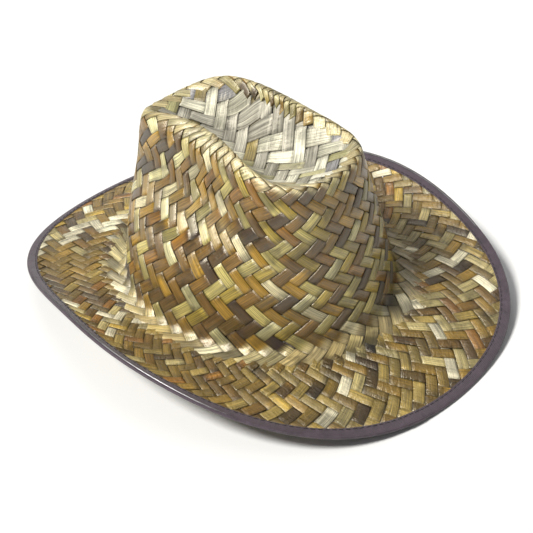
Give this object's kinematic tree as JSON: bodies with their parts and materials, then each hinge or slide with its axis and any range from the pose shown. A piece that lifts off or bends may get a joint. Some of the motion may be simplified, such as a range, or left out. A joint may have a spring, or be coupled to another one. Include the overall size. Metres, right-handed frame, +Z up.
{
  "type": "cowboy hat",
  "caption": "Woven straw cowboy hat with a dented tear-drop crown, a brim rolled up at the sides, a cloth edge tape over a wire, and a cloth sweatband.",
  "frame": {"origin": "on the surface that the hat stands on, below the middle of its outline", "axes": "+Z up, -Y towards the wearer's front, +Y towards the back, +X towards the wearer's left"},
  "size_m": [0.2812, 0.347, 0.1363],
  "materials": {
    "straw": "woven palm strips, semi-gloss",
    "wire": "drawn",
    "ferrule": "crimped",
    "binding_cloth": "ribbed tape, matt",
    "binding_thread": "twisted thread",
    "sweatband_cloth": "woven twill",
    "sweatband_thread": "twisted thread"
  },
  "bodies": {
    "root": {"crown_side": "straw", "crown_top": "straw", "brim": "straw", "brim_wire": "wire", "wire_ferrule": "ferrule", "edge_binding": "binding_cloth", "binding_thread_top": "binding_thread", "binding_thread_under": "binding_thread", "sweatband": "sweatband_cloth", "sweatband_join": "sweatband_cloth", "sweatband_thread": "sweatband_thread", "join_threads": "sweatband_thread"}
  },
  "joints": []
}
